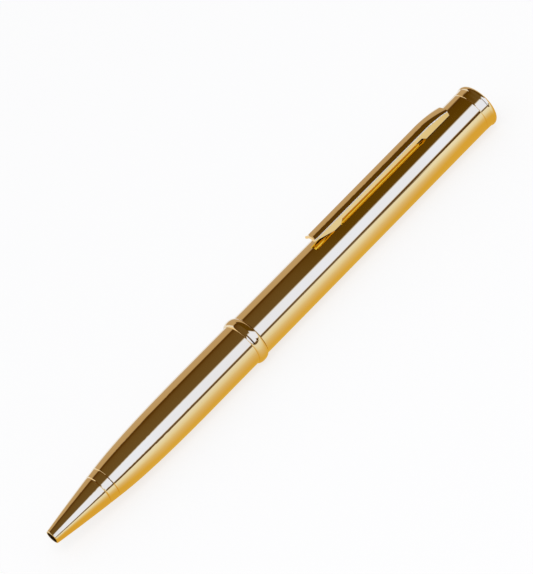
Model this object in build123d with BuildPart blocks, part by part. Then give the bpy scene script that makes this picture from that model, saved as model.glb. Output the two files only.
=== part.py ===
"""Twist-action ballpoint pen whose front half draws out of the rear barrel and carries a letter-opener blade.

The pen lies along X on Z = 0, nose at -X, cap at +X, clip straight up. The origin is under the pen's middle.
Every turned piece is a profile of (station, radius) corners, where a station is the distance from the nose.
The refill sets the length of the front half, and the blade that of the rear barrel.
"""

import os
from math import asin, atan2, cos, degrees, radians, sin, sqrt

from build123d import *

# Clearances, in millimetres
seam_gap = 0.1  # between end faces that turn or butt against each other
running_gap = 0.05  # radial, between pieces that turn or slide in each other
seat_gap = 0.02  # radial, between pieces pressed or glued together
point_gap = 0.055  # radial, between the refill and the nose's hole
pin_gap = 0.06  # between a cam pin and the sides of its slots
clip_gap = 0.12  # between the clip and the barrel or bush under it
tab_gap = 0.3  # around the clip's tab, so that the clip can flex

# Nose cone
nose_length = 16.55
nose_end_diameter = 3.3
nose_seam_diameter = 8.0
nose_bow = 0.07  # how far the cone's side bulges beyond a straight line
nose_rim_radius = 0.2
nose_hole_length = 4.0
nose_cavity_diameter = 4.0
nose_cavity_taper = 6.0
nose_spigot_diameter = 6.4
nose_spigot_length = 5.5
groove_setback = 2.35  # from the seam forward to the fine groove round the cone
groove_width = 0.36
groove_depth = 0.14
seam_chamfer = 0.12

# Barrels, centre ring and cap
barrel_diameter = 10.4
barrel_wall = 0.55
barrel_edge_radius = 0.14
taper_length = 28.85  # from the seam to where the front barrel becomes a plain cylinder
taper_lead = 8.35  # from the seam to the corner that the taper's curve rounds off
inner_taper_length = 17.0
ring_width = 2.65
ring_rise = 0.55  # of the ring's crown above the barrel
ring_seat_wall = 0.3
ring_seat_length = 2.2
cap_length = 3.55
cap_flare = 0.07  # of the cap's side, up to its bead
cap_bead_rise = 0.27  # of the bead above the barrel
cap_bead_length = 0.5  # from the crease in front of the bead to its crest
cap_end_radius = 0.95
cap_dome_height = 0.2
cap_spigot_length = 3.6
bush_length = 11.5
bush_floor_wall = 0.5

# Clip
clip_length = 43.6
clip_root_inset = 5.3  # from the barrel's cap end to the clip's root end
clip_rise = 2.1  # outer face above the barrel
clip_width = 3.6
clip_foot_width = 3.3
clip_crown = 0.35  # of the outer face from its edges to its middle
clip_corner_radius = 0.3
clip_root_radius = 0.7  # of the root's two upright corners
clip_root_setback = 0.65  # from the root's end and sides to the centres of those corners
clip_sheet = 0.5
clip_bend_length = 7.0
clip_bend_radius = 28.0
clip_mid_depth = 1.4  # of the channel along the middle
clip_root_wall = 7.9  # length of the deep walls at the root
clip_foot_wall = 8.4  # length of the deep walls at the foot
clip_foot_seat = 1.6  # length of the foot's walls that reaches the barrel
clip_wall_slant = 1.1
clip_lip_radius = 1.2
clip_lip_angle = 30.0
clip_lip_depth = 0.8
tab_setback = 4.0  # from the clip's root end to the tab
tab_width = 1.8
tab_length = 1.2
tab_toe = 1.8  # how far the tab's toe reaches under the barrel wall
tab_thickness = 0.5

# Refill and twist drive
twist_angle = 180.0
refill_travel = 5.4
refill_recess = 0.8  # from the nose back to the ball
refill_length = 67.0
refill_diameter = 2.35
refill_tube_wall = 0.22
ink_share = 0.79  # of the tube behind the point that holds ink
ball_diameter = 0.8
ball_gap = 0.02
point_face = 0.3  # from the ball's front to the point's lip
point_lip_diameter = 0.94
point_cone_length = 4.3
point_cone_diameter = 1.8
point_shoulder_length = 1.9
point_length = 8.2
point_stub_length = 3.0
ink_duct_diameter = 0.3
carrier_wall = 1.0
carrier_grip = 10.8
carrier_end_wall = 0.8
cam_pin_diameter = 1.0
cam_pin_setback = 3.3  # from the refill's rear end forward to the pins
cam_pin_recess = 0.15  # the pins end this far inside the cam sleeve's outside
guide_wall = 0.55
guide_plug_length = 8.0
guide_lead = 4.5  # from the pins' forward place to the guide's shoulder
guide_overrun = 0.4  # guide bore beyond the carrier at both ends of its travel
guide_end_step = 0.2
washer_width = 1.1
washer_thickness = 0.6

# Collar and blade
collar_engagement = 4.4  # of the collar in the front barrel
collar_wall = 0.6
collar_end_wall = 1.0
collar_edge_radius = 0.9
holder_gap = 0.8
holder_length = 6.1
blade_length = 52.0  # from the collar to the tip
blade_room = 1.8  # from the tip to the cap's spigot
blade_tip_radius = 0.8
blade_base_width = 6.5
blade_width = 7.2
blade_swell_length = 12.0  # of the spine, over which the blade reaches its full width
blade_belly_start = 26.0  # where both edges start to curve in
blade_thickness = 1.1
blade_edge_thickness = 0.15
blade_bevel_width = 2.3
bevel_start = 2.2
serrated_length = 24.4
serration_step = 0.25  # how far the serrated edge lies behind the plain edge
serration_groups = 4
serration_teeth = 4
serration_lead = 4.2
serration_group_pitch = 5.4
serration_tooth_pitch = 1.15
serration_radius = 0.38
serration_depth = 0.2
tang_width = 5.0
tang_length = 5.0
tang_pin_diameter = 1.0
tang_pin_spacing = 2.4
tang_pin_recess = 0.3

# Stations along the pen, from the nose
tube_front = refill_recess + point_length
refill_back = refill_recess + refill_length
carrier_front = refill_back - carrier_grip
carrier_back = refill_back + carrier_end_wall
pin_in = refill_back - cam_pin_setback
pin_out = pin_in - refill_travel
guide_shoulder = pin_out - guide_lead
guide_back = carrier_back + guide_overrun
washer_front = guide_back - washer_thickness
collar_front = guide_shoulder + seam_gap
holder_front = guide_back + holder_gap
holder_back = holder_front + holder_length
collar_back = holder_back + collar_end_wall
ring_front = guide_shoulder + collar_engagement
ring_back = ring_front + ring_width
rear_front = ring_back + seam_gap
blade_tip = collar_back + blade_length
spigot_front = blade_tip + blade_room
rear_back = spigot_front + cap_spigot_length
pen_length = rear_back + cap_length
clip_root = rear_back - clip_root_inset
clip_foot = clip_root - clip_length
tab_front = clip_root - tab_setback
tab_back = tab_front + tab_length

# Radii and heights above the axis that several pieces share
barrel_radius = barrel_diameter / 2
barrel_bore_radius = barrel_radius - barrel_wall
ring_seat_radius = barrel_bore_radius + ring_seat_wall
collar_radius = barrel_bore_radius - running_gap
collar_bore_radius = collar_radius - collar_wall
holder_radius = collar_bore_radius - seat_gap
nose_seam_radius = nose_seam_diameter / 2
nose_spigot_radius = nose_spigot_diameter / 2
refill_radius = refill_diameter / 2
refill_bore_radius = refill_radius - refill_tube_wall
nose_hole_radius = refill_radius + point_gap
carrier_bore_radius = refill_radius + seat_gap
carrier_radius = carrier_bore_radius + carrier_wall
guide_bore_radius = carrier_radius + running_gap
guide_radius = guide_bore_radius + guide_wall
guide_end_radius = guide_radius - guide_end_step
cam_bore_radius = guide_radius + running_gap
cam_radius = collar_bore_radius - seat_gap
cam_track_width = cam_pin_diameter + 2 * pin_gap
clip_top = barrel_radius + clip_rise
toe_top = sqrt(barrel_bore_radius**2 - (tab_width / 2) ** 2) - tab_gap
toe_bottom = toe_top - tab_thickness
pocket_floor = toe_bottom - clip_gap
bush_bore_radius = pocket_floor - bush_floor_wall

# The pen's own planes: side view (station, height), plan view (station, side) and the axis
axis_height = barrel_radius + ring_rise
nose_point = Vector(-pen_length / 2, 0, axis_height)
side_plane = Plane(origin=nose_point, x_dir=(1, 0, 0), z_dir=(0, -1, 0))
plan_plane = Plane(origin=nose_point, x_dir=(1, 0, 0), z_dir=(0, 0, 1))
pen_axis = Axis(nose_point, (1, 0, 0))


def axis_point(station: float, height: float = 0) -> Vector:
    """Return the point at a distance from the nose, on the pen's axis or at a height above it."""
    return nose_point + Vector(station, 0, height)


def cross_plane(station: float) -> Plane:
    """Return the plane square to the pen's axis at a station, with local x to the side and local y up."""
    return Plane(origin=axis_point(station), x_dir=(0, 1, 0), z_dir=(1, 0, 0))


def radial_plane(station: float, direction: Vector) -> Plane:
    """Return the plane through the axis at a station that faces out along a radial direction."""
    return Plane(origin=axis_point(station), x_dir=(1, 0, 0), z_dir=direction)


def turn(*corners: tuple, mode: Mode = Mode.ADD) -> None:
    """Revolve a closed profile of (station, radius) corners about the pen's axis in the open part."""
    with BuildSketch(side_plane) as profile:
        with BuildLine():
            Polyline(*corners, close=True)
        make_face()
    revolve(profile.sketch, axis=pen_axis, mode=mode)


def turn_tube(front: float, back: float, bore: float, radius: float) -> None:
    """Turn a plain tube between two stations in the open part."""
    turn((front, bore), (back, bore), (back, radius), (front, radius))


def outer_ring(body: BuildPart, station: float) -> Edge:
    """Return the largest closed circular edge of a part at a station."""
    place = axis_point(station).X
    closed = body.edges().filter_by(lambda edge: edge.is_closed)
    here = closed.filter_by_position(Axis.X, place - 0.001, place + 0.001)
    return here.sort_by(SortBy.RADIUS)[-1]


os.makedirs("parts", exist_ok=True)

# Nose cone: bowed cone, open at the front, with a spigot that seats in the front barrel
nose_end_radius = nose_end_diameter / 2
nose_cavity_radius = nose_cavity_diameter / 2
nose_spigot_back = nose_length + nose_spigot_length
nose_slope = (nose_seam_radius - nose_end_radius) / nose_length
groove_station = nose_length - groove_setback
groove_share = groove_station / nose_length
groove_radius = nose_end_radius + nose_slope * groove_station + 4 * nose_bow * groove_share * (1 - groove_share)
with BuildPart() as nose_cone:
    with BuildSketch(side_plane):
        with BuildLine():
            mid_radius = (nose_end_radius + nose_seam_radius) / 2 + nose_bow
            ThreePointArc((0, nose_end_radius), (nose_length / 2, mid_radius), (nose_length, nose_seam_radius))
            Polyline(
                (nose_length, nose_seam_radius),
                (nose_length, nose_spigot_radius),
                (nose_spigot_back, nose_spigot_radius),
                (nose_spigot_back, nose_cavity_radius),
                (nose_hole_length + nose_cavity_taper, nose_cavity_radius),
                (nose_hole_length, nose_hole_radius),
                (0, nose_hole_radius),
                (0, nose_end_radius),
            )
        make_face()
    revolve(axis=pen_axis)
    chamfer(outer_ring(nose_cone, nose_length), length=seam_chamfer)
    fillet(outer_ring(nose_cone, 0), radius=nose_rim_radius)
    half_groove = groove_width / 2
    turn(
        (groove_station, groove_radius - groove_depth),
        (groove_station + half_groove, groove_radius + nose_slope * half_groove),
        (groove_station, groove_radius + groove_depth),
        (groove_station - half_groove, groove_radius - nose_slope * half_groove),
        mode=Mode.SUBTRACT,
    )
nose_cone.part.label = "nose_cone"
export_step(nose_cone.part, "parts/nose_cone.step")

# Front barrel: tapered shell with the nose's socket in front and the ring's seat behind
inner_taper_front = nose_spigot_back + seam_gap
inner_taper_back = inner_taper_front + inner_taper_length
ring_seat_back = ring_front + ring_seat_length
socket_radius = nose_spigot_radius + seat_gap
with BuildPart() as front_barrel:
    with BuildSketch(side_plane):
        with BuildLine():
            Bezier(
                (nose_length, nose_seam_radius),
                (nose_length + taper_lead, barrel_radius),
                (nose_length + taper_length, barrel_radius),
            )
            Polyline(
                (nose_length + taper_length, barrel_radius),
                (ring_front, barrel_radius),
                (ring_front, ring_seat_radius),
                (ring_seat_back, ring_seat_radius),
                (ring_seat_back, barrel_bore_radius),
                (inner_taper_back, barrel_bore_radius),
                (inner_taper_front, socket_radius),
                (nose_length, socket_radius),
                (nose_length, nose_seam_radius),
            )
        make_face()
    revolve(axis=pen_axis)
    chamfer(outer_ring(front_barrel, nose_length), length=seam_chamfer)
front_barrel.part.label = "front_barrel"
export_step(front_barrel.part, "parts/front_barrel.step")

# Centre ring: rounded band pressed on the front barrel's seat, with a lip behind that runs on the collar
ring_middle = (ring_front + ring_back) / 2
ring_lip_front = ring_seat_back + seat_gap
ring_bore_radius = ring_seat_radius + seat_gap
with BuildPart() as centre_ring:
    with BuildSketch(side_plane):
        with BuildLine():
            EllipticalCenterArc((ring_middle, barrel_radius), ring_width / 2, ring_rise, arc_size=180)
            Polyline(
                (ring_back, barrel_radius),
                (ring_back, barrel_bore_radius),
                (ring_lip_front, barrel_bore_radius),
                (ring_lip_front, ring_bore_radius),
                (ring_front, ring_bore_radius),
                (ring_front, barrel_radius),
            )
        make_face()
    revolve(axis=pen_axis)
centre_ring.part.label = "centre_ring"
export_step(centre_ring.part, "parts/centre_ring.step")

# Guide tube: plug fixed in the front barrel, then a tube with two straight slots for the cam pins
guide_bore_front = carrier_front - refill_travel - guide_overrun
guide_plug_radius = barrel_bore_radius - seat_gap
refill_way_radius = refill_radius + 2 * running_gap
with BuildPart() as guide_tube:
    turn(
        (guide_shoulder - guide_plug_length, refill_way_radius),
        (guide_bore_front, refill_way_radius),
        (guide_bore_front, guide_bore_radius),
        (guide_back, guide_bore_radius),
        (guide_back, guide_end_radius),
        (washer_front, guide_end_radius),
        (washer_front, guide_radius),
        (guide_shoulder, guide_radius),
        (guide_shoulder, guide_plug_radius),
        (guide_shoulder - guide_plug_length, guide_plug_radius),
    )
    with BuildSketch(radial_plane((pin_in + pin_out) / 2, Vector(0, 0, 1))):
        SlotCenterToCenter(refill_travel, cam_track_width)
    extrude(amount=cam_bore_radius, both=True, mode=Mode.SUBTRACT)
guide_tube.part.label = "guide_tube"
export_step(guide_tube.part, "parts/guide_tube.step")

# Retaining washer: fixed on the guide tube's stepped end, behind the cam sleeve
with BuildPart() as retaining_washer:
    washer_bore_radius = guide_end_radius + seat_gap
    turn_tube(washer_front, guide_back, washer_bore_radius, washer_bore_radius + washer_width)
retaining_washer.part.label = "retaining_washer"
export_step(retaining_washer.part, "parts/retaining_washer.step")

# Collar: drawn cup that turns in the front barrel, with the blade's slot through its closed end
with BuildPart() as collar:
    turn(
        (collar_front, collar_bore_radius),
        (holder_back, collar_bore_radius),
        (holder_back, 0),
        (collar_back, 0),
        (collar_back, collar_radius),
        (collar_front, collar_radius),
    )
    fillet(outer_ring(collar, collar_back), radius=collar_edge_radius)
    with BuildSketch(cross_plane(holder_back)):
        Rectangle(blade_base_width + 2 * seat_gap, blade_thickness + 2 * seat_gap)
    extrude(amount=collar_end_wall, mode=Mode.SUBTRACT)
collar.part.label = "collar"
export_step(collar.part, "parts/collar.step")

# Cam sleeve: fixed in the collar, with one helical slot for each cam pin
track_pitch = refill_travel * 360 / twist_angle
track_radius = (cam_bore_radius + cam_radius) / 2
track_depth = 2 * (cam_radius - cam_bore_radius)
with BuildPart() as cam_sleeve:
    turn_tube(collar_front, washer_front - seam_gap, cam_bore_radius, cam_radius)
    for side in (1, -1):
        start = Vector(0, 0, side)
        track_plane = Plane(origin=axis_point(pin_in), x_dir=start, z_dir=(-1, 0, 0))
        track = track_plane.from_local_coords(
            Edge.make_helix(track_pitch, refill_travel, track_radius, lefthand=True)
        )
        with BuildSketch(Plane(origin=track @ 0, x_dir=start, z_dir=track % 0)):
            Rectangle(track_depth, cam_track_width)
        sweep(path=track, is_frenet=True, mode=Mode.SUBTRACT)
        finish = (track @ 1 - axis_point(pin_out)).normalized()
        for station, direction in ((pin_in, start), (pin_out, finish)):
            with BuildSketch(radial_plane(station, direction)):
                Circle(cam_track_width / 2)
            extrude(amount=cam_radius + track_depth, mode=Mode.SUBTRACT)
cam_sleeve.part.label = "cam_sleeve"
export_step(cam_sleeve.part, "parts/cam_sleeve.step")

# Blade holder: plug in the collar's closed end, slotted for the tang and cross-drilled for its pins
tang_front = holder_back - tang_length
pin_stations = [tang_front + (tang_length + side * tang_pin_spacing) / 2 for side in (-1, 1)]
pin_places = [(station, 0) for station in pin_stations]
with BuildPart() as blade_holder:
    turn((holder_front, 0), (holder_back, 0), (holder_back, holder_radius), (holder_front, holder_radius))
    with BuildSketch(cross_plane(holder_back)):
        Rectangle(tang_width + 2 * seat_gap, blade_thickness + 2 * seat_gap)
    extrude(amount=-(tang_length + seat_gap), mode=Mode.SUBTRACT)
    with BuildSketch(plan_plane):
        with Locations(*pin_places):
            Circle(tang_pin_diameter / 2 + seat_gap)
    extrude(amount=collar_radius, both=True, mode=Mode.SUBTRACT)
blade_holder.part.label = "blade_holder"
export_step(blade_holder.part, "parts/blade_holder.step")

# Tang pins: two cross pins through the holder and the tang
with BuildPart() as tang_pins:
    with BuildSketch(plan_plane):
        with Locations(*pin_places):
            Circle(tang_pin_diameter / 2)
    extrude(amount=holder_radius - tang_pin_recess, both=True)
tang_pins.part.label = "tang_pins"
export_step(tang_pins.part, "parts/tang_pins.step")

# Blade: flat spear outline, with one edge ground to a bevel that is serrated near the collar
half_base = blade_base_width / 2
half_width = blade_width / 2
half_tang = tang_width / 2
belly = collar_back + blade_belly_start
belly_run = blade_tip - blade_tip_radius - belly
belly_radius = (belly_run**2 + half_width**2 - blade_tip_radius**2) / (2 * (half_width - blade_tip_radius))
belly_angle = atan2(belly_run, belly_radius - half_width)
serrated_back = collar_back + serrated_length


def belly_point(angle: float, side: int) -> tuple:
    """Return the (station, side) point of a curved edge at an angle round the curve's centre."""
    across = half_width - belly_radius * (1 - cos(angle))
    return (belly + belly_radius * sin(angle), side * across)


with BuildPart() as blade:
    with BuildSketch(plan_plane):
        with BuildLine():
            Polyline(
                (holder_back, half_base),
                (collar_back, half_base),
                (serrated_back, half_width - serration_step),
                (serrated_back, half_width),
                (belly, half_width),
            )
            ThreePointArc((belly, half_width), belly_point(belly_angle / 2, 1), belly_point(belly_angle, 1))
            ThreePointArc(belly_point(belly_angle, 1), (blade_tip, 0), belly_point(belly_angle, -1))
            ThreePointArc(belly_point(belly_angle, -1), belly_point(belly_angle / 2, -1), (belly, -half_width))
            Polyline(
                (belly, -half_width),
                (collar_back + blade_swell_length, -half_width),
                (collar_back, -half_base),
                (holder_back, -half_base),
                (holder_back, -half_tang),
                (tang_front, -half_tang),
                (tang_front, half_tang),
                (holder_back, half_tang),
                (holder_back, half_base),
            )
        make_face()
        with Locations(*pin_places):
            Circle(tang_pin_diameter / 2 + seat_gap, mode=Mode.SUBTRACT)
    extrude(amount=blade_thickness / 2, both=True)

    half_thick = blade_thickness / 2
    half_edge = blade_edge_thickness / 2
    bevel_fall = half_thick - half_edge
    for face in (1, -1):
        with BuildSketch(cross_plane(belly)) as bevel:
            with BuildLine():
                Polyline(
                    (half_width - blade_bevel_width, face * half_thick),
                    (half_width + blade_bevel_width, face * (half_edge - bevel_fall)),
                    (half_width + blade_bevel_width, face * blade_thickness),
                    (half_width - blade_bevel_width, face * blade_thickness),
                    close=True,
                )
            make_face()
        extrude(amount=bevel_start - blade_belly_start, mode=Mode.SUBTRACT)
        belly_centre = axis_point(belly) + Vector(0, half_width - belly_radius, 0)
        past_tip = 2 * degrees(belly_angle)
        revolve(bevel.sketch, Axis(belly_centre, (0, 0, -1)), past_tip, mode=Mode.SUBTRACT)

    bevel_direction = Vector(0, -blade_bevel_width, bevel_fall).normalized()
    edge_corner = axis_point(collar_back) + Vector(0, half_width, half_edge)
    tooth_places = [
        (
            serration_lead + group * serration_group_pitch + tooth * serration_tooth_pitch,
            serration_radius - serration_depth,
        )
        for group in range(serration_groups)
        for tooth in range(serration_teeth)
    ]
    with BuildSketch(Plane(origin=edge_corner, x_dir=(1, 0, 0), z_dir=bevel_direction)):
        with Locations(*tooth_places):
            Circle(serration_radius)
    extrude(amount=blade_bevel_width, both=True, mode=Mode.SUBTRACT)
blade.part.label = "blade"
export_step(blade.part, "parts/blade.step")

# Refill carrier: cup that grips the refill's rear end and slides in the guide tube
with BuildPart() as refill_carrier:
    turn(
        (carrier_front, carrier_bore_radius),
        (refill_back + seat_gap, carrier_bore_radius),
        (refill_back + seat_gap, 0),
        (carrier_back, 0),
        (carrier_back, carrier_radius),
        (carrier_front, carrier_radius),
    )
    with BuildSketch(radial_plane(pin_in, Vector(0, 0, 1))):
        Circle(cam_pin_diameter / 2 + seat_gap)
    extrude(amount=cam_radius, both=True, mode=Mode.SUBTRACT)
refill_carrier.part.label = "refill_carrier"
export_step(refill_carrier.part, "parts/refill_carrier.step")

# Cam pins: two radial pins in the carrier's wall, reaching through the guide's slots into the cam's
with BuildPart() as cam_pins:
    for side in (1, -1):
        with BuildSketch(radial_plane(pin_in, Vector(0, 0, side)).offset(carrier_bore_radius)):
            Circle(cam_pin_diameter / 2)
        extrude(amount=cam_radius - cam_pin_recess - carrier_bore_radius)
cam_pins.part.label = "cam_pins"
export_step(cam_pins.part, "parts/cam_pins.step")

# Refill: tube, point with its ball socket, ink and ball
ball_station = refill_recess + ball_diameter / 2
cone_back = refill_recess + point_cone_length
shoulder_back = cone_back + point_shoulder_length
stub_back = tube_front + point_stub_length
stub_radius = refill_bore_radius - seat_gap
duct_radius = ink_duct_diameter / 2
with BuildPart() as refill_tube:
    turn_tube(tube_front, refill_back, refill_bore_radius, refill_radius)
refill_tube.part.label = "refill_tube"
export_step(refill_tube.part, "parts/refill_tube.step")

with BuildPart() as writing_point:
    turn(
        (ball_station, duct_radius),
        (ball_station, 0),
        (refill_recess + point_face, 0),
        (refill_recess + point_face, point_lip_diameter / 2),
        (cone_back, point_cone_diameter / 2),
        (shoulder_back, refill_radius),
        (tube_front, refill_radius),
        (tube_front, stub_radius),
        (stub_back, stub_radius),
        (stub_back, duct_radius),
    )
    with Locations(axis_point(ball_station)):
        Sphere(ball_diameter / 2 + ball_gap, mode=Mode.SUBTRACT)
writing_point.part.label = "writing_point"
export_step(writing_point.part, "parts/writing_point.step")

with BuildPart() as ink_column:
    ink_front = stub_back + seat_gap
    ink_back = ink_front + ink_share * (refill_back - ink_front)
    turn((ink_front, 0), (ink_back, 0), (ink_back, stub_radius), (ink_front, stub_radius))
ink_column.part.label = "ink_column"
export_step(ink_column.part, "parts/ink_column.step")

with BuildPart(Plane(axis_point(ball_station))) as writing_ball:
    Sphere(ball_diameter / 2)
writing_ball.part.label = "writing_ball"
export_step(writing_ball.part, "parts/writing_ball.step")

# Rear barrel: plain tube with the clip's slot near its cap end
slot_length = tab_length + 2 * tab_gap
slot_width = tab_width + 2 * tab_gap
with BuildPart() as rear_barrel:
    turn_tube(rear_front, rear_back, barrel_bore_radius, barrel_radius)
    for station in (rear_front, rear_back):
        fillet(outer_ring(rear_barrel, station), radius=barrel_edge_radius)
    with BuildSketch(plan_plane):
        with Locations(((tab_front + tab_back) / 2, 0)):
            Rectangle(slot_length, slot_width)
    extrude(amount=barrel_diameter, mode=Mode.SUBTRACT)
rear_barrel.part.label = "rear_barrel"
export_step(rear_barrel.part, "parts/rear_barrel.step")

# Clip bush: fixed inside the rear barrel's end, with a pocket for the tab's toe
toe_back = tab_back + tab_toe
with BuildPart() as clip_bush:
    turn_tube(rear_back - bush_length, rear_back, bush_bore_radius, barrel_bore_radius - seat_gap)
    with BuildSketch(plan_plane.offset(pocket_floor)):
        with Locations(((tab_front + toe_back) / 2, 0)):
            Rectangle(toe_back - tab_front + 2 * tab_gap, slot_width)
    extrude(amount=barrel_radius, mode=Mode.SUBTRACT)
clip_bush.part.label = "clip_bush"
export_step(clip_bush.part, "parts/clip_bush.step")

# Top cap: slightly flared side with a bead round its rounded end, a low dome, and a spigot in the bush
cap_spigot_radius = bush_bore_radius - seat_gap
cap_side_radius = barrel_radius + cap_flare
cap_bead_radius = barrel_radius + cap_bead_rise
cap_dome_radius = cap_bead_radius - cap_end_radius
dome_station = pen_length - cap_dome_height
bead_station = dome_station - cap_end_radius
crease_station = bead_station - cap_bead_length
with BuildPart() as top_cap:
    with BuildSketch(side_plane):
        with BuildLine():
            Line((rear_back, barrel_radius), (crease_station, cap_side_radius))
            TangentArc((bead_station, cap_bead_radius), (crease_station, cap_side_radius), tangent=(-1, 0))
            TangentArc((bead_station, cap_bead_radius), (dome_station, cap_dome_radius), tangent=(1, 0))
            TangentArc((pen_length, 0), (dome_station, cap_dome_radius), tangent=(0, 1))
            Polyline(
                (pen_length, 0),
                (spigot_front, 0),
                (spigot_front, cap_spigot_radius),
                (rear_back, cap_spigot_radius),
                (rear_back, barrel_radius),
            )
        make_face()
    revolve(axis=pen_axis)
    chamfer(outer_ring(top_cap, rear_back), length=seam_chamfer)
top_cap.part.label = "top_cap"
export_step(top_cap.part, "parts/top_cap.step")

# Clip: folded channel, tapered to its foot, bent down at its root and held by a tab through the barrel
bend_front = clip_root - clip_bend_length
bend_angle = degrees(asin((clip_bend_length + clip_sheet) / clip_bend_radius))
lip_back = clip_foot + (clip_lip_radius + clip_lip_depth) * sin(radians(clip_lip_angle))
wall_line = clip_top - clip_mid_depth
wall_low = sqrt(barrel_radius**2 - (clip_width / 2) ** 2)
foot_low = sqrt((barrel_radius + clip_gap) ** 2 - (clip_width / 2) ** 2)
foot_wall_back = clip_foot + clip_foot_wall
root_wall_front = clip_root - clip_root_wall
corner_station = clip_root - clip_root_setback
corner_side = clip_width / 2 - clip_root_setback
tab_top = barrel_radius + clip_rise / 2
foot_seat_front = foot_wall_back - clip_wall_slant - clip_foot_seat


def crowned_bar(width: float, top: float, foot: float, mode: Mode = Mode.ADD) -> None:
    """Draw a bar with a crowned top in the open sketch, between two heights above the axis."""
    edge = top - clip_crown
    with BuildLine() as outline:
        ThreePointArc((-width / 2, edge), (0, top), (width / 2, edge))
        Polyline((width / 2, edge), (width / 2, foot), (-width / 2, foot), (-width / 2, edge))
    make_face(outline.edges(), mode=mode)


def channel_section(section: BuildSketch, width: float, hollow: bool) -> None:
    """Draw the clip's section: a crowned bar with rounded corners, or a channel open towards the barrel."""
    crowned_bar(width, clip_top, 0)
    fillet(section.vertices().sort_by(Axis.Y)[-2:], radius=clip_corner_radius)
    if hollow:
        crowned_bar(width - 2 * clip_sheet, clip_top - clip_sheet, -clip_sheet, mode=Mode.SUBTRACT)


with BuildPart() as clip:
    for station, width in ((lip_back, clip_foot_width), (bend_front, clip_width)):
        with BuildSketch(cross_plane(station)) as section:
            channel_section(section, width, hollow=True)
    loft(ruled=True)
    with BuildSketch(cross_plane(bend_front)) as section:
        channel_section(section, clip_width, hollow=False)
    bend_centre = axis_point(bend_front, clip_top - clip_bend_radius)
    revolve(axis=Axis(bend_centre, (0, 1, 0)), revolution_arc=bend_angle)
    with BuildSketch(plan_plane):
        with Locations((corner_station, 0)):
            Rectangle(clip_width, 2 * clip_width, align=(Align.MIN, Align.CENTER))
            Rectangle(clip_root_setback, 2 * corner_side, align=(Align.MIN, Align.CENTER), mode=Mode.SUBTRACT)
        with Locations((corner_station, corner_side), (corner_station, -corner_side)):
            Circle(clip_root_radius, mode=Mode.SUBTRACT)
        with Locations((clip_root, 0)):
            Rectangle(clip_width, 2 * clip_width, align=(Align.MIN, Align.CENTER))
    extrude(amount=clip_top, mode=Mode.SUBTRACT)
    with BuildSketch(side_plane):
        with BuildLine():
            Polyline(
                (foot_wall_back - clip_wall_slant, wall_low),
                (foot_wall_back, wall_line),
                (root_wall_front - clip_wall_slant, wall_line),
                (root_wall_front, wall_low),
                close=True,
            )
        make_face()
        with BuildLine():
            Polyline(
                (foot_seat_front, foot_low),
                (lip_back, clip_top - clip_lip_depth),
                (lip_back, foot_low),
                close=True,
            )
        make_face()
    extrude(amount=clip_width, both=True, mode=Mode.SUBTRACT)
    turn(
        (clip_foot - clip_width, 0),
        (rear_back, 0),
        (rear_back, barrel_radius + clip_gap),
        (clip_foot - clip_width, barrel_radius + clip_gap),
        mode=Mode.SUBTRACT,
    )
    with BuildSketch(cross_plane(lip_back)) as section:
        channel_section(section, clip_foot_width, hollow=True)
        with Locations((0, clip_top)):
            Rectangle(clip_width, clip_lip_depth, align=(Align.CENTER, Align.MAX), mode=Mode.INTERSECT)
    lip_centre = axis_point(lip_back, clip_top + clip_lip_radius)
    revolve(axis=Axis(lip_centre, (0, 1, 0)), revolution_arc=clip_lip_angle)
    with BuildSketch(side_plane):
        with BuildLine():
            Polyline(
                (tab_front, toe_bottom),
                (tab_front, tab_top),
                (tab_back, tab_top),
                (tab_back, toe_top),
                (toe_back, toe_top),
                (toe_back, toe_bottom),
                close=True,
            )
        make_face()
    extrude(amount=tab_width / 2, both=True)
clip.part.label = "clip"
export_step(clip.part, "parts/clip.step")
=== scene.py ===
"""Dress and stage a polished gold twist pen whose front half draws out and carries a letter-opener blade."""

import logging
import math
from dataclasses import dataclass, field
from enum import Enum

import bmesh
import bpy
from mathutils import Matrix, Vector

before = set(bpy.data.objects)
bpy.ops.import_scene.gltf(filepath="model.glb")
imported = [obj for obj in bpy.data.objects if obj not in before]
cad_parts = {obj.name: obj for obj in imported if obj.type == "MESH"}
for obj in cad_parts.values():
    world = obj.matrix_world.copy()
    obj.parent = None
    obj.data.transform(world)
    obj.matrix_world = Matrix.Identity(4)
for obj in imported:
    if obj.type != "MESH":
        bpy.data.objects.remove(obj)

LOG = logging.getLogger("pen")
MM = 0.001
AXIS_HEIGHT = 5.75
FULL_TURN = 360.0
Triple = tuple[float, float, float]
Colour = Triple
Stop = tuple[float, Colour]
Span = tuple[float, float]
WHITE: Colour = (1.0, 1.0, 1.0)
EVEN: Triple = (1.0, 1.0, 1.0)


def rgba(colour: Colour) -> tuple[float, float, float, float]:
    """Return a colour with full opacity."""
    return (*colour, 1.0)


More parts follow.
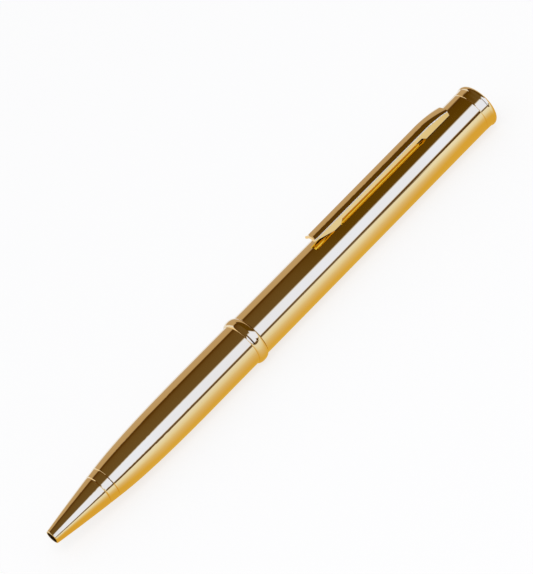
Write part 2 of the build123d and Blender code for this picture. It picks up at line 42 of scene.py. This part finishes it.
class NodeSheet:
    """One shader node tree, with short calls that add and join its nodes."""

    def __init__(self, owner: bpy.types.Material | bpy.types.World) -> None:
        """Give the owner an empty node tree."""
        owner.use_nodes = True
        self.tree = owner.node_tree
        self.tree.nodes.clear()

    def feed(self, socket: bpy.types.NodeSocket, value: object) -> None:
        """Link an output to a socket, or set the socket to a plain value.

        Args:
            socket: the input.
            value: an output of another node, or a value.
        """
        if isinstance(value, bpy.types.NodeSocket):
            self.tree.links.new(value, socket)
        else:
            socket.default_value = value

    def add(
        self, kind: str, inputs: dict[str | int, object] | None = None, **settings: object
    ) -> bpy.types.Node:
        """Add a node, make its settings and feed its inputs.

        Args:
            kind: the node's Blender type.
            inputs: outputs of other nodes or values, by the input's name or number.
            settings: properties of the node by name.

        Returns:
            The new node.
        """
        node = self.tree.nodes.new(kind)
        for name, setting in settings.items():
            setattr(node, name, setting)
        for key, value in (inputs or {}).items():
            self.feed(node.inputs[key], value)
        return node

    def math(self, operation: str, *terms: object) -> bpy.types.NodeSocket:
        """Add a Math node on sockets or numbers.

        Args:
            operation: the Math node's operation.
            terms: one socket or number for each input.

        Returns:
            The node's output.
        """
        return self.add("ShaderNodeMath", dict(enumerate(terms)), operation=operation).outputs[0]

    def negative(self, factor: bpy.types.NodeSocket) -> bpy.types.NodeSocket:
        """Return a factor with its sign turned."""
        return self.math("MULTIPLY", factor, -1.0)

    def parts_of(self, output: str) -> bpy.types.NodeOutputs:
        """Split one of the texture coordinates into X, Y and Z."""
        place = self.add("ShaderNodeTexCoord")
        return self.add("ShaderNodeSeparateXYZ", {"Vector": place.outputs[output]}).outputs

    def ramp(self, factor: bpy.types.NodeSocket, stops: tuple[Stop, ...]) -> bpy.types.NodeSocket:
        """Add a colour ramp.

        Args:
            factor: what the ramp reads.
            stops: places from 0 to 1 with their colours, in order.

        Returns:
            The ramp's colour.
        """
        node = self.add("ShaderNodeValToRGB", {"Fac": factor})
        points = node.color_ramp.elements
        while len(points) < len(stops):
            points.new(1.0)
        for point, (place, colour) in zip(points, stops):
            point.position = place
            point.color = rgba(colour)
        return node.outputs["Color"]

    def noise(self, scale: float, detail: float, stretch: Triple = EVEN) -> bpy.types.NodeSocket:
        """Add noise on the object's own coordinates.

        Args:
            scale: the noise's scale, per metre.
            detail: its octaves.
            stretch: factors along X, Y and Z; a small factor draws the grain out along that axis.

        Returns:
            The noise, from 0 to 1.
        """
        place = self.add("ShaderNodeTexCoord").outputs["Object"]
        mapping = self.add("ShaderNodeMapping", {"Vector": place, "Scale": stretch})
        noise = {"Vector": mapping.outputs["Vector"], "Scale": scale, "Detail": detail}
        return self.add("ShaderNodeTexNoise", noise).outputs["Fac"]

    def spread(
        self, factor: bpy.types.NodeSocket, low: float, high: float, start: float = 0.25, end: float = 0.75
    ) -> bpy.types.NodeSocket:
        """Map a stretch of a factor, by default the middle half of a noise, to a range.

        Args:
            factor: what is mapped.
            low: value at the stretch's start.
            high: value at its end.
            start: where the stretch starts.
            end: where it ends.

        Returns:
            The mapped value.
        """
        limits = {"From Min": start, "From Max": end, "To Min": low, "To Max": high}
        return self.add("ShaderNodeMapRange", {"Value": factor, **limits}).outputs["Result"]

    def bump(self, height: bpy.types.NodeSocket, depth: float) -> bpy.types.NodeSocket:
        """Return a normal that a height bumps, with the depth in metres."""
        bump = self.add("ShaderNodeBump", {"Strength": 1.0, "Distance": depth, "Height": height})
        return bump.outputs["Normal"]

    def blend(
        self, factor: bpy.types.NodeSocket, first: bpy.types.NodeSocket, second: bpy.types.NodeSocket
    ) -> bpy.types.NodeSocket:
        """Mix two colours.

        Args:
            factor: 0 for the first, 1 for the second.
            first: the first colour.
            second: the second colour.

        Returns:
            The mixed colour.
        """
        mix = {"Factor": factor, "A": first, "B": second}
        return self.add("ShaderNodeMix", mix, data_type="RGBA").outputs["Result"]

    def choose(
        self, factor: object, first: bpy.types.NodeSocket, second: bpy.types.NodeSocket
    ) -> bpy.types.NodeSocket:
        """Mix two shaders.

        Args:
            factor: 0 for the first, 1 for the second; a socket or a number.
            first: the first shader.
            second: the second shader.

        Returns:
            The mixed shader.
        """
        return self.add("ShaderNodeMixShader", {"Fac": factor, 1: first, 2: second}).outputs["Shader"]

    def shader(self, kind: str, colour: object) -> bpy.types.NodeSocket:
        """Return a shader of its type with one colour, which is a socket or four numbers."""
        return self.add(kind, {"Color": colour}).outputs[0]

    def show(self, shader: bpy.types.NodeSocket, output: str = "ShaderNodeOutputMaterial") -> None:
        """Send a shader to the tree's output."""
        self.add(output, {"Surface": shader})


@dataclass(frozen=True)
class Plating:
    """Polished or ground metal: two close tones, a slight haze and fine lines from the wheel.

    Inside a tube or a fold other tones and roughness take over: within the bore radius about the pen's axis, in
    millimetres, or on the faces of a folded sheet that look inward or down. The default inner tone is dull brass;
    the nose's bore sets a near-black one, which is painted shade, and the clip's fold a brighter yellow one,
    which is painted light in the reflections under the clip.
    """

    name: str
    tone: Colour
    deep_tone: Colour
    smooth: float
    hazy: float
    line_stretch: Triple
    line_scale: float
    line_depth: float
    metallic: float = 1.0
    bore: float = 0.0
    folded: bool = False
    inner_tone_and_painted_light: Colour = (0.3, 0.19, 0.07)
    inner_deep_tone_and_painted_light: Colour = (0.22, 0.13, 0.045)
    inner_roughness: float = 0.5
    line_detail: float = 4.0
    cloud_scale: float = 60.0
    cloud_detail: float = 3.0
    cloud_span: Span = (0.3, 0.7)
    inward_limit: float = -0.5
    downward_limit: float = -0.5

    def bored(self, sheet: NodeSheet) -> bpy.types.NodeSocket:
        """Return 1 inside the bore and 0 outside it."""
        place = sheet.parts_of("Object")
        height = sheet.math("SUBTRACT", place["Z"], AXIS_HEIGHT * MM)
        square = sheet.math("MULTIPLY_ADD", height, height, sheet.math("MULTIPLY", place["Y"], place["Y"]))
        return sheet.math("LESS_THAN", square, (self.bore * MM) ** 2)

    def in_fold(self, sheet: NodeSheet) -> bpy.types.NodeSocket:
        """Return 1 on faces that look towards the middle plane or down, and 0 on the others: the faces that get
        the clip's painted light.
        """
        face = sheet.parts_of("Normal")
        inward = sheet.math("MULTIPLY", sheet.parts_of("Object")["Y"], face["Y"])
        inward = sheet.math("LESS_THAN", inward, self.inward_limit * MM)
        return sheet.math("MAXIMUM", inward, sheet.math("LESS_THAN", face["Z"], self.downward_limit))

    def material(self) -> bpy.types.Material:
        """Return the metal's material."""
        material = bpy.data.materials.new(self.name)
        sheet = NodeSheet(material)
        cloud = sheet.noise(self.cloud_scale, self.cloud_detail)
        tone = sheet.ramp(cloud, tuple(zip(self.cloud_span, (self.deep_tone, self.tone))))
        lines = sheet.noise(self.line_scale, self.line_detail, self.line_stretch)
        roughness = sheet.spread(lines, self.smooth, self.hazy)
        # Inside, the inner tone takes over: dull brass in the tube, painted shade in the nose's bore, painted
        # light in the clip's fold.
        if self.bore or self.folded:
            inside = self.in_fold(sheet) if self.folded else self.bored(sheet)
            inner = sheet.ramp(cloud, tuple(zip(self.cloud_span, (self.inner_deep_tone_and_painted_light, self.inner_tone_and_painted_light))))
            tone = sheet.blend(inside, tone, inner)
            inner_roughness = sheet.math("MULTIPLY", inside, self.inner_roughness)
            roughness = sheet.math("MAXIMUM", roughness, inner_roughness)
        surface = {
            "Base Color": tone,
            "Metallic": self.metallic,
            "Roughness": roughness,
            "Normal": sheet.bump(lines, self.line_depth),
        }
        sheet.show(sheet.add("ShaderNodeBsdfPrincipled", surface).outputs["BSDF"])
        return material


@dataclass(frozen=True)
class Moulding:
    """Moulded plastic: dark with a faint cloud, and a fine spark-eroded grain."""

    name: str
    tone: Colour
    deep_tone: Colour
    roughness: float
    grain: float
    roughness_play: float = 0.06
    grain_scale: float = 6000.0
    grain_detail: float = 2.0
    cloud_scale: float = 300.0
    cloud_detail: float = 3.0
    cloud_span: Span = (0.35, 0.65)

    def material(self) -> bpy.types.Material:
        """Return the plastic's material."""
        material = bpy.data.materials.new(self.name)
        sheet = NodeSheet(material)
        cloud = sheet.noise(self.cloud_scale, self.cloud_detail)
        fine = sheet.noise(self.grain_scale, self.grain_detail)
        low, high = self.roughness - self.roughness_play, self.roughness + self.roughness_play
        surface = {
            "Base Color": sheet.ramp(cloud, tuple(zip(self.cloud_span, (self.deep_tone, self.tone)))),
            "Roughness": sheet.spread(fine, low, high),
            "Normal": sheet.bump(fine, self.grain),
        }
        sheet.show(sheet.add("ShaderNodeBsdfPrincipled", surface).outputs["BSDF"])
        return material


@dataclass(frozen=True)
class ClearInk:
    """Pale clear ink in the refill's tube."""

    name: str = "clear_ink"
    tone: Colour = (0.72, 0.8, 0.94)
    deep_tone: Colour = (0.62, 0.74, 0.93)
    clearness: float = 0.6
    refraction: float = 1.36
    roughness: float = 0.08
    cloud_scale: float = 400.0
    cloud_detail: float = 2.0
    cloud_span: Span = (0.35, 0.65)

    def material(self) -> bpy.types.Material:
        """Return the ink's material."""
        material = bpy.data.materials.new(self.name)
        sheet = NodeSheet(material)
        cloud = sheet.noise(self.cloud_scale, self.cloud_detail)
        surface = {
            "Base Color": sheet.ramp(cloud, tuple(zip(self.cloud_span, (self.deep_tone, self.tone)))),
            "Transmission Weight": self.clearness,
            "IOR": self.refraction,
            "Roughness": self.roughness,
        }
        sheet.show(sheet.add("ShaderNodeBsdfPrincipled", surface).outputs["BSDF"])
        return material


ALONG: Triple = (0.02, 1.0, 1.0)
ROUND: Triple = (1.0, 0.05, 0.05)
UPRIGHT: Triple = (1.0, 1.0, 0.04)
GOLD_TONES = ((0.88, 0.66, 0.3), (0.85, 0.62, 0.27), 0.03, 0.05, ALONG, 1500.0, 1e-7)


class Finish(Enum):
    """The finishes of the pen's pieces."""

    GOLD = Plating("gold_plate", *GOLD_TONES)
    # The nose's bore is painted nearly black: painted shade in the hole.
    NOSE_GOLD = Plating("gold_plate_nose_painted_shade", *GOLD_TONES, bore=1.45, inner_tone_and_painted_light=(0.06, 0.04, 0.02))
    TUBE_GOLD = Plating("gold_plate_bored_tube", *GOLD_TONES, bore=4.93)
    # The clip fold's inward- and downward-facing faces are painted a brighter yellow: painted light that
    # brightens the reflections in the gap under the clip.
    CLIP_GOLD = Plating(
        "gold_plate_fold_painted_light",
        *GOLD_TONES,
        folded=True,
        inner_tone_and_painted_light=(1.0, 0.84, 0.14),
        inner_deep_tone_and_painted_light=(0.98, 0.8, 0.12),
        inner_roughness=0.07,
    )
    PALE_GOLD = Plating(
        "pale_gold_plate", (0.87, 0.76, 0.45), (0.83, 0.71, 0.4), 0.08, 0.12, ROUND, 1500.0, 2e-7
    )
    BLADE_STEEL = Plating(
        "ground_steel", (0.83, 0.78, 0.66), (0.77, 0.72, 0.6), 0.28, 0.42, UPRIGHT, 3000.0, 1e-6, metallic=0.35
    )
    NICKEL = Plating(
        "nickel_silver", (0.76, 0.72, 0.62), (0.7, 0.66, 0.56), 0.14, 0.22, ROUND, 2500.0, 5e-7, metallic=0.6
    )
    CARBIDE = Plating(
        "ground_ball", (0.52, 0.52, 0.54), (0.46, 0.46, 0.48), 0.1, 0.18, ROUND, 4000.0, 2e-7
    )
    PIN_STEEL = Plating(
        "turned_steel", (0.6, 0.6, 0.62), (0.54, 0.54, 0.56), 0.25, 0.38, ROUND, 3000.0, 1e-6
    )
    PLAIN_BRASS = Plating(
        "turned_brass", (0.74, 0.56, 0.25), (0.66, 0.48, 0.2), 0.22, 0.36, ROUND, 2500.0, 1e-6
    )
    DRIVE_PLASTIC = Moulding("black_acetal", (0.022, 0.022, 0.024), (0.015, 0.015, 0.017), 0.42, 2e-6)
    INK = ClearInk()


@dataclass
class Dresser:
    """Makes each finish once and puts it on pieces."""

    made: dict[str, bpy.types.Material] = field(default_factory=dict)

    def dress(self, name: str, finish: Finish) -> None:
        """Give a CAD node one finish all over.

        Args:
            name: the node's name.
            finish: what it is made of.
        """
        if finish.name not in self.made:
            self.made[finish.name] = finish.value.material()
        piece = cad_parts[name]
        piece.data.materials.clear()
        piece.data.materials.append(self.made[finish.name])
        LOG.info("%s dressed in %s", name, finish.name.lower())


@dataclass
class FrontHalf:
    """The gold front shell that twists: nose cone, barrel and centre ring, with the drive's fixed tube inside."""

    shell: Finish = Finish.GOLD
    nose: Finish = Finish.NOSE_GOLD
    drive: Finish = Finish.PLAIN_BRASS

    def dress(self, dresser: Dresser) -> None:
        """Dress the front half."""
        dresser.dress("nose_cone", self.nose)
        dresser.dress("front_barrel", self.shell)
        dresser.dress("centre_ring", self.shell)
        dresser.dress("guide_tube", self.drive)
        dresser.dress("retaining_washer", self.drive)


@dataclass
class Refill:
    """The mini refill with its point, and the carrier that the cam pushes."""

    tube: Finish = Finish.NICKEL
    ball: Finish = Finish.CARBIDE
    ink: Finish = Finish.INK
    carrier: Finish = Finish.DRIVE_PLASTIC
    pins: Finish = Finish.PIN_STEEL

    def dress(self, dresser: Dresser) -> None:
        """Dress the refill."""
        dresser.dress("refill_tube", self.tube)
        dresser.dress("writing_point", self.tube)
        dresser.dress("writing_ball", self.ball)
        dresser.dress("ink_column", self.ink)
        dresser.dress("refill_carrier", self.carrier)
        dresser.dress("cam_pins", self.pins)


@dataclass
class BladeSection:
    """The bright collar that the rear barrel slides over, with the blade pinned in its holder."""

    collar: Finish = Finish.PALE_GOLD
    blade: Finish = Finish.BLADE_STEEL
    holder: Finish = Finish.DRIVE_PLASTIC
    pins: Finish = Finish.PIN_STEEL

    def dress(self, dresser: Dresser) -> None:
        """Dress the blade section."""
        dresser.dress("collar", self.collar)
        dresser.dress("blade", self.blade)
        dresser.dress("blade_holder", self.holder)
        dresser.dress("cam_sleeve", self.holder)
        dresser.dress("tang_pins", self.pins)


@dataclass
class RearHalf:
    """The gold rear barrel, its crown and its sprung clip."""

    shell: Finish = Finish.GOLD
    tube: Finish = Finish.TUBE_GOLD
    clip: Finish = Finish.CLIP_GOLD
    bush: Finish = Finish.DRIVE_PLASTIC

    def dress(self, dresser: Dresser) -> None:
        """Dress the rear half."""
        dresser.dress("rear_barrel", self.tube)
        dresser.dress("top_cap", self.shell)
        dresser.dress("clip", self.clip)
        dresser.dress("clip_bush", self.bush)


@dataclass
class PhotoCamera:
    """The camera of the large picture, placed about the pen's own axis, in degrees and millimetres."""

    image_height: int = 574
    nose_tilt: float = 18.7
    side_turn: float = 53.0
    picture_roll: float = 45.315
    distance: float = 740.0
    aim: Vector = field(default_factory=lambda: Vector((2.964, 2.061, 10.391)))
    focal_pixels: float = 3449.3
    sensor: float = 36.0
    nearest: float = 50.0
    farthest: float = 50000.0

    def place(self) -> None:
        """Add the camera to the scene."""
        tilt = math.radians(self.nose_tilt)
        turn = math.radians(self.side_turn)
        roll = math.radians(self.picture_roll)
        back = Vector((-math.sin(tilt), -math.cos(tilt) * math.sin(turn), math.cos(tilt) * math.cos(turn)))
        along = (Vector((1, 0, 0)) - back * back.x).normalized()
        across = back.cross(along)
        right = along * math.cos(roll) - across * math.sin(roll)
        up = along * math.sin(roll) + across * math.cos(roll)
        data = bpy.data.cameras.new("photo_camera")
        data.sensor_width = self.sensor
        data.lens = self.focal_pixels * self.sensor / self.image_height
        data.clip_start = self.nearest * MM
        data.clip_end = self.farthest * MM
        camera = bpy.data.objects.new("photo_camera", data)
        rotation = Matrix((right, up, back)).transposed().to_4x4()
        camera.matrix_world = Matrix.Translation((self.aim + back * self.distance) * MM) @ rotation
        bpy.context.scene.collection.objects.link(camera)
        bpy.context.scene.camera = camera


DEEP_BROWN: Colour = (0.105, 0.056, 0.01)
PANEL_WHITE: Colour = (0.93, 1.25, 2.85)


@dataclass
class Studio:
    """A pale table under a tent of long panels, hung parallel to the pen. Only reflections see the tent.

    Panel stops go round the pen's axis in degrees from straight up, positive to the near side. A ray's lean is
    its part along the pen, negative ahead of the nose and positive behind the cap, and each change from one set
    of panels to the next is a span of leans. Over the pen and behind the cap the far panel is tan, and the one
    overhead deepens towards the cap. Ahead of the nose the far panel is white, then cream, and the near one is
    dark, then white again. The tent is also turned: to the far side over cap_bend_span, then, past each end's
    start, to the near side by a rate in degrees for each unit of lean.

    To reflections the table shows painted reflections, by the distance from the pen's middle plane in
    millimetres: warm painted bounce light from the gold near the pen, paler and cooler tints further out, and a
    painted dark patch on the near side, whose slanted end leaves the table pale beside the cap. Towards the pen's
    ends the painted tints shift outwards by end_shift.
    """

    floor_size: float = 8.0
    floor_colour: Colour = (0.92, 0.92, 0.93)
    floor_glow: float = 0.75
    lamp_power: float = 6.0
    lamp_size: float = 0.9
    lamp_place: Vector = field(default_factory=lambda: Vector((-0.25, -0.7, 1.1)))
    fill: Colour = (0.75, 0.75, 0.77)
    side_span: Span = (-90.0, -41.5)
    tan_side: Colour = (0.58, 0.47, 0.38)
    white_side: Colour = (0.95, 1.09, 1.75)
    cream_side: Colour = (1.0, 0.95, 1.0)
    overhead: tuple[Stop, ...] = (
        (-36.5, (0.09, 0.04, 0.002)),
        (-30.0, (0.105, 0.048, 0.004)),
        (-20.0, (0.14, 0.083, 0.028)),
        (-8.0, (0.15, 0.096, 0.035)),
        (35.5, (0.16, 0.11, 0.05)),
    )
    cap_overhead: tuple[Stop, ...] = (
        (-36.5, (0.09, 0.04, 0.002)),
        (-24.0, (0.108, 0.056, 0.003)),
        (35.5, (0.124, 0.071, 0.005)),
    )
    white_panel: tuple[Stop, ...] = (
        (37.5, (0.41, 0.4, 0.48)),
        (40.0, (0.75, 0.86, 1.45)),
        (41.5, PANEL_WHITE),
        (82.5, PANEL_WHITE),
        (83.3, (0.77, 0.86, 1.31)),
        (85.4, (0.37, 0.31, 0.28)),
        (86.5, DEEP_BROWN),
    )
    dark_panel: tuple[Stop, ...] = (
        (55.0, (0.16, 0.11, 0.05)),
        (72.0, (0.04, 0.02, 0.002)),
        (86.0, (0.02, 0.01, 0.001)),
    )
    near_edge: tuple[Stop, ...] = ((96.0, DEEP_BROWN), (98.0, (0.95, 1.0, 1.15)))
    cap_bend: float = 8.5
    cap_bend_span: Span = (0.34, 0.4)
    cap_start: float = 0.4
    cap_rate: float = 30.0
    nose_start: float = 0.1
    nose_rate: float = 6.0
    cap_change: Span = (0.32, 0.345)
    nose_change: Span = (-0.2, -0.06)
    dark_change: Span = (-0.14, -0.04)
    white_wall: Span = (-0.5, -0.42)
    cream_change: Span = (-0.5, -0.4)
    # Painted reflections on the table: warm painted bounce light near the pen, cooler tints further out, a
    # painted dark patch at the end.
    painted_table_reflection_stops: tuple[Stop, ...] = (
        (0.0, (0.78, 0.52, 0.1)),
        (5.0, (0.78, 0.55, 0.12)),
        (9.0, (0.8, 0.66, 0.4)),
        (16.0, (0.875, 0.905, 0.92)),
        (21.0, (0.89, 0.955, 1.08)),
        (30.0, (0.91, 1.02, 1.34)),
        (60.0, (0.935, 1.04, 1.4)),
        (82.0, (0.95, 1.04, 1.3)),
        (105.0, DEEP_BROWN),
    )
    far_reach: float = 60.0
    pale_reach: float = 80.0
    painted_dark_slant: float = 0.4
    painted_dark_end: Span = (40.0, 52.0)
    end_shift: float = 4.0
    end_span: Span = (38.0, 64.0)

    def tent(self, side: Colour, overhead: tuple[Stop, ...], near: tuple[Stop, ...]) -> tuple[Stop, ...]:
        """List the panels' stops.

        Args:
            side: the colour of the far side's panel.
            overhead: stops of the dark panel overhead, in degrees.
            near: stops of the panel above the near side, in degrees.

        Returns:
            Stops for a ramp over a whole turn.
        """
        far = tuple((degrees, side) for degrees in self.side_span)
        panels = far + overhead + near + self.near_edge
        return tuple((degrees / FULL_TURN + 0.5, colour) for degrees, colour in panels)

    def ray_turn(self, sheet: NodeSheet, ray: bpy.types.NodeOutputs) -> bpy.types.NodeSocket:
        """Work out where a ray meets the tent.

        Args:
            sheet: the world's node sheet.
            ray: the parts of the ray's direction.

        Returns:
            The share of a turn about the pen's axis, 0.5 straight up.
        """
        angle = sheet.math("ARCTAN2", sheet.negative(ray["Y"]), ray["Z"])
        turn = sheet.math("MULTIPLY_ADD", angle, 0.5 / math.pi, 0.5)
        bend = sheet.spread(ray["X"], 0.0, self.cap_bend / FULL_TURN, *self.cap_bend_span)
        turn = sheet.math("ADD", turn, bend)
        ends = (
            (ray["X"], self.cap_start, self.cap_rate),
            (sheet.negative(ray["X"]), self.nose_start, self.nose_rate),
        )
        for lean, start, rate in ends:
            past = sheet.math("MAXIMUM", sheet.math("SUBTRACT", lean, start), 0.0)
            turn = sheet.math("MULTIPLY_ADD", past, -rate / FULL_TURN, turn)
        return turn

    def panels(self, sheet: NodeSheet) -> bpy.types.NodeSocket:
        """Add the panels that metal mirrors.

        Args:
            sheet: the world's node sheet.

        Returns:
            The panels' colour in the ray's direction.
        """
        ray = sheet.parts_of("Generated")
        lean = ray["X"]
        turn = self.ray_turn(sheet, ray)
        middle = sheet.ramp(turn, self.tent(self.tan_side, self.overhead, self.white_panel))
        capward = sheet.ramp(turn, self.tent(self.tan_side, self.cap_overhead, self.white_panel))
        dark = sheet.ramp(turn, self.tent(self.white_side, self.overhead, self.dark_panel))
        white = sheet.ramp(turn, self.tent(self.white_side, self.overhead, self.white_panel))
        cream = sheet.ramp(turn, self.tent(self.cream_side, self.overhead, self.white_panel))
        behind = sheet.blend(sheet.spread(lean, 0.0, 1.0, *self.cap_change), middle, capward)
        past_dark = sheet.spread(lean, 0.0, 1.0, *self.dark_change)
        past_dark = sheet.math("MAXIMUM", past_dark, sheet.spread(lean, 1.0, 0.0, *self.white_wall))
        ahead = sheet.blend(past_dark, dark, white)
        ahead = sheet.blend(sheet.spread(lean, 0.0, 1.0, *self.cream_change), cream, ahead)
        return sheet.blend(sheet.spread(lean, 0.0, 1.0, *self.nose_change), ahead, behind)

    def world(self) -> None:
        """Light the pen softly, show it the panels, and leave the background white."""
        world = bpy.data.worlds.new("studio")
        bpy.context.scene.world = world
        sheet = NodeSheet(world)
        panels = sheet.shader("ShaderNodeBackground", self.panels(sheet))
        soft = sheet.shader("ShaderNodeBackground", rgba(self.fill))
        white = sheet.shader("ShaderNodeBackground", rgba(WHITE))
        path = sheet.add("ShaderNodeLightPath").outputs
        light = sheet.choose(path["Is Glossy Ray"], soft, panels)
        sheet.show(sheet.choose(path["Is Camera Ray"], light, white), "ShaderNodeOutputWorld")

    def painted_table_reflection(self, sheet: NodeSheet) -> bpy.types.NodeSocket:
        """Add the painted reflections that metal sees in the table.

        Args:
            sheet: the table's node sheet.

        Returns:
            The table's painted colour in reflections.
        """
        place = sheet.parts_of("Object")
        reach = self.painted_table_reflection_stops[-1][0]
        painted_dark_start, painted_dark_stop = self.painted_dark_end
        along = sheet.math("MULTIPLY_ADD", place["Y"], self.painted_dark_slant, place["X"])
        limit = sheet.spread(along, reach * MM, self.pale_reach * MM, painted_dark_start * MM, painted_dark_stop * MM)
        near = sheet.math("MINIMUM", sheet.negative(place["Y"]), limit)
        far = sheet.math("MINIMUM", place["Y"], self.far_reach * MM)
        end_start, end_stop = self.end_span
        towards_end = sheet.math("ABSOLUTE", place["X"])
        shift = sheet.spread(towards_end, 0.0, self.end_shift * MM, end_start * MM, end_stop * MM)
        away = sheet.math("SUBTRACT", sheet.math("MAXIMUM", far, near), shift)
        share = sheet.math("MULTIPLY", away, 1.0 / (reach * MM))
        return sheet.ramp(share, tuple((distance / reach, colour) for distance, colour in self.painted_table_reflection_stops))

    def floor_material(self) -> bpy.types.Material:
        """Return the table's finish: near white, with the pen's shadow, and with painted reflections that only
        glossy rays see.
        """
        material = bpy.data.materials.new("pale_table")
        sheet = NodeSheet(material)
        matt = sheet.shader("ShaderNodeBsdfDiffuse", rgba(self.floor_colour))
        glow = sheet.shader("ShaderNodeEmission", rgba(WHITE))
        shown = sheet.choose(self.floor_glow, matt, glow)
        # Glossy rays see the table's painted reflections in place of its white.
        mirrored = sheet.shader("ShaderNodeEmission", self.painted_table_reflection(sheet))
        path = sheet.add("ShaderNodeLightPath").outputs
        bounced = sheet.choose(path["Is Glossy Ray"], matt, mirrored)
        sheet.show(sheet.choose(path["Is Camera Ray"], bounced, shown))
        return material

    def floor(self) -> None:
        """Lay the table under the pen."""
        mesh = bpy.data.meshes.new("table")
        shape = bmesh.new()
        bmesh.ops.create_grid(shape, x_segments=1, y_segments=1, size=self.floor_size / 2)
        shape.to_mesh(mesh)
        shape.free()
        mesh.materials.append(self.floor_material())
        table = bpy.data.objects.new("table", mesh)
        bpy.context.scene.collection.objects.link(table)

    def lamp(self) -> None:
        """Hang one large soft lamp over the pen's near side."""
        data = bpy.data.lights.new("soft_lamp", "AREA")
        data.shape = "DISK"
        data.size = self.lamp_size
        data.energy = self.lamp_power
        lamp = bpy.data.objects.new("soft_lamp", data)
        aim = (-self.lamp_place).to_track_quat("-Z", "Y").to_matrix().to_4x4()
        lamp.matrix_world = Matrix.Translation(self.lamp_place) @ aim
        lamp.visible_glossy = False
        bpy.context.scene.collection.objects.link(lamp)

    def set_up(self) -> None:
        """Build the studio."""
        bpy.context.scene.view_settings.view_transform = "Standard"
        self.world()
        self.floor()
        self.lamp()


def main() -> None:
    """Dress the pen, set the studio and place the camera."""
    logging.basicConfig(level=logging.INFO, format="%(name)s: %(message)s")
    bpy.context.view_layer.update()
    dresser = Dresser()
    for assembly in (FrontHalf(), Refill(), BladeSection(), RearHalf()):
        assembly.dress(dresser)
    Studio().set_up()
    PhotoCamera().place()


if __name__ == "__main__":
    main()
